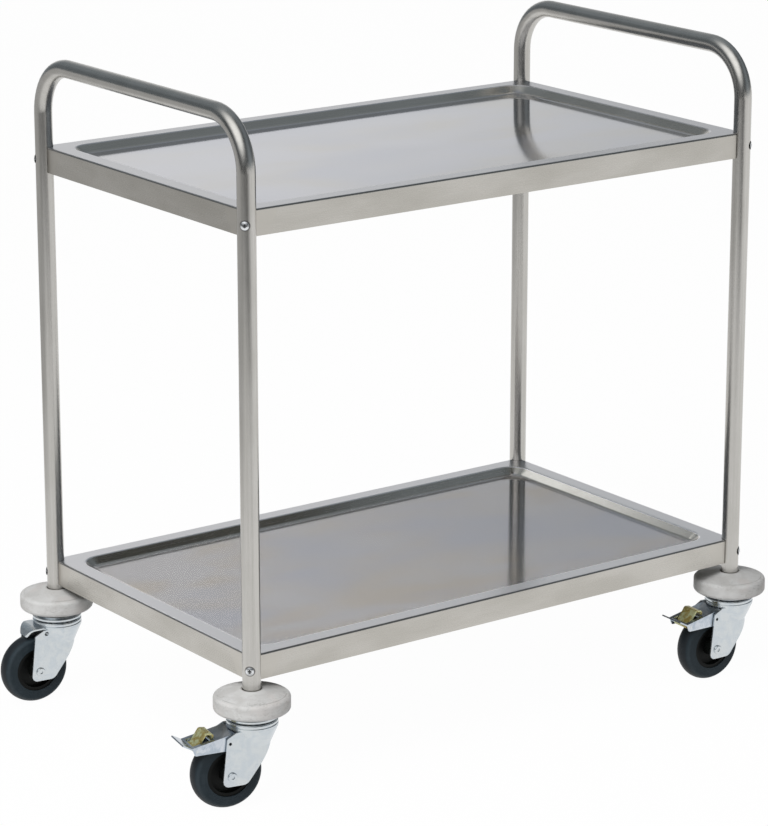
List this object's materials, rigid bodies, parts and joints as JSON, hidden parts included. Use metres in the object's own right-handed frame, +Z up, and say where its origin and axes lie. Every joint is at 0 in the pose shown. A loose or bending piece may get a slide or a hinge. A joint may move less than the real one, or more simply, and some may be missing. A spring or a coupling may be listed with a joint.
{
  "type": "serving cart",
  "caption": "Stainless serving cart with dished trays on bent tube end frames that form push handles, on braked and free swivel castors under bumper discs.",
  "frame": {"origin": "on the floor, midway between the legs", "axes": "+X along the trays towards the right end, +Y towards the back, +Z up; the front long side faces -Y"},
  "size_m": [1.0055, 0.604, 0.9396],
  "materials": {
    "brushed_tube": "satin brushed stainless tube",
    "tray_sheet": "stainless sheet, satin apron and polished deck",
    "screw_steel": "bright stainless fastener",
    "zinc_steel": "blue zinc plated pressed steel",
    "yellow_zinc": "yellow passivated steel",
    "bearing_steel": "hard bright steel",
    "bumper_grey": "scuffed light grey rubber",
    "tyre_rubber": "blue grey rubber tyre",
    "black_plastic": "black moulded plastic",
    "pad_rubber": "black rubber pad"
  },
  "bodies": {
    "cart": {"left_end_frame": "brushed_tube", "right_end_frame": "brushed_tube", "upper_tray": "tray_sheet", "lower_tray": "tray_sheet", "upper_tray_screws": "screw_steel", "lower_tray_screws": "screw_steel", "upper_tray_nuts": "screw_steel", "lower_tray_nuts": "screw_steel", "leg_inserts": "black_plastic", "front_left_bumper": "bumper_grey", "front_left_stem": "zinc_steel", "front_left_swivel_race": "zinc_steel", "front_left_swivel_balls": "bearing_steel", "front_right_bumper": "bumper_grey", "front_right_stem": "zinc_steel", "front_right_swivel_race": "zinc_steel", "front_right_swivel_balls": "bearing_steel", "rear_left_bumper": "bumper_grey", "rear_left_stem": "zinc_steel", "rear_left_swivel_race": "zinc_steel", "rear_left_swivel_balls": "bearing_steel", "rear_right_bumper": "bumper_grey", "rear_right_stem": "zinc_steel", "rear_right_swivel_race": "zinc_steel", "rear_right_swivel_balls": "bearing_steel"},
    "front_left_swivel": {"front_left_fork": "zinc_steel", "front_left_axle_bolt": "zinc_steel", "front_left_axle_nut": "zinc_steel", "front_left_axle_sleeve": "bearing_steel", "front_left_pivot_rivets": "zinc_steel"},
    "front_left_wheel": {"front_left_wheel_centre": "black_plastic", "front_left_tyre": "tyre_rubber"},
    "front_left_pedal": {"front_left_brake_pedal": "zinc_steel", "front_left_brake_pad": "pad_rubber", "front_left_lever_pin": "zinc_steel"},
    "front_left_lever": {"front_left_release_lever": "yellow_zinc"},
    "front_right_swivel": {"front_right_fork": "zinc_steel", "front_right_axle_bolt": "zinc_steel", "front_right_axle_nut": "zinc_steel", "front_right_axle_sleeve": "bearing_steel", "front_right_pivot_rivets": "zinc_steel"},
    "front_right_wheel": {"front_right_wheel_centre": "black_plastic", "front_right_tyre": "tyre_rubber"},
    "front_right_pedal": {"front_right_brake_pedal": "zinc_steel", "front_right_brake_pad": "pad_rubber", "front_right_lever_pin": "zinc_steel"},
    "front_right_lever": {"front_right_release_lever": "yellow_zinc"},
    "rear_left_swivel": {"rear_left_fork": "zinc_steel", "rear_left_axle_bolt": "zinc_steel", "rear_left_axle_nut": "zinc_steel", "rear_left_axle_sleeve": "bearing_steel"},
    "rear_left_wheel": {"rear_left_wheel_centre": "black_plastic", "rear_left_tyre": "tyre_rubber"},
    "rear_right_swivel": {"rear_right_fork": "zinc_steel", "rear_right_axle_bolt": "zinc_steel", "rear_right_axle_nut": "zinc_steel", "rear_right_axle_sleeve": "bearing_steel"},
    "rear_right_wheel": {"rear_right_wheel_centre": "black_plastic", "rear_right_tyre": "tyre_rubber"}
  },
  "joints": [
    {"name": "front_left_swivel_turn", "type": "hinge", "parent": "cart", "child": "front_left_swivel", "pos_m": [-0.422, -0.25, 0.1205], "axis": [0, 0, 1], "continuous": true},
    {"name": "front_left_wheel_roll", "type": "hinge", "parent": "front_left_swivel", "child": "front_left_wheel", "pos_m": [-0.46022, -0.24222, 0.05], "axis": [-0.1994, -0.9799, 0], "continuous": true},
    {"name": "front_left_brake_press", "type": "hinge", "parent": "front_left_swivel", "child": "front_left_pedal", "pos_m": [-0.46247, -0.24177, 0.097], "axis": [-0.1994, -0.9799, 0], "range_deg": [0, 10]},
    {"name": "front_left_release_lift", "type": "hinge", "parent": "front_left_pedal", "child": "front_left_lever", "pos_m": [-0.50725, -0.23266, 0.092], "axis": [-0.1994, -0.9799, 0], "range_deg": [0, 6]},
    {"name": "front_right_swivel_turn", "type": "hinge", "parent": "cart", "child": "front_right_swivel", "pos_m": [0.422, -0.25, 0.1205], "axis": [0, 0, 1], "continuous": true},
    {"name": "front_right_wheel_roll", "type": "hinge", "parent": "front_right_swivel", "child": "front_right_wheel", "pos_m": [0.38302, -0.24864, 0.05], "axis": [-0.0349, -0.9994, 0], "continuous": true},
    {"name": "front_right_brake_press", "type": "hinge", "parent": "front_right_swivel", "child": "front_right_pedal", "pos_m": [0.38072, -0.24856, 0.097], "axis": [-0.0349, -0.9994, 0], "range_deg": [0, 10]},
    {"name": "front_right_release_lift", "type": "hinge", "parent": "front_right_pedal", "child": "front_right_lever", "pos_m": [0.33505, -0.24696, 0.092], "axis": [-0.0349, -0.9994, 0], "range_deg": [0, 6]},
    {"name": "rear_left_swivel_turn", "type": "hinge", "parent": "cart", "child": "rear_left_swivel", "pos_m": [-0.422, 0.25, 0.1205], "axis": [0, 0, 1], "continuous": true},
    {"name": "rear_left_wheel_roll", "type": "hinge", "parent": "rear_left_swivel", "child": "rear_left_wheel", "pos_m": [-0.46079, 0.25408, 0.05], "axis": [-0.1045, -0.9945, 0], "continuous": true},
    {"name": "rear_right_swivel_turn", "type": "hinge", "parent": "cart", "child": "rear_right_swivel", "pos_m": [0.422, 0.25, 0.1205], "axis": [0, 0, 1], "continuous": true},
    {"name": "rear_right_wheel_roll", "type": "hinge", "parent": "rear_right_swivel", "child": "rear_right_wheel", "pos_m": [0.3831, 0.25272, 0.05], "axis": [-0.0698, -0.9976, 0], "continuous": true}
  ],
  "couplings": [
    {"joint": "front_left_release_lift", "follows": "front_left_brake_press", "ratio": 0.6},
    {"joint": "front_right_release_lift", "follows": "front_right_brake_press", "ratio": 0.6}
  ]
}
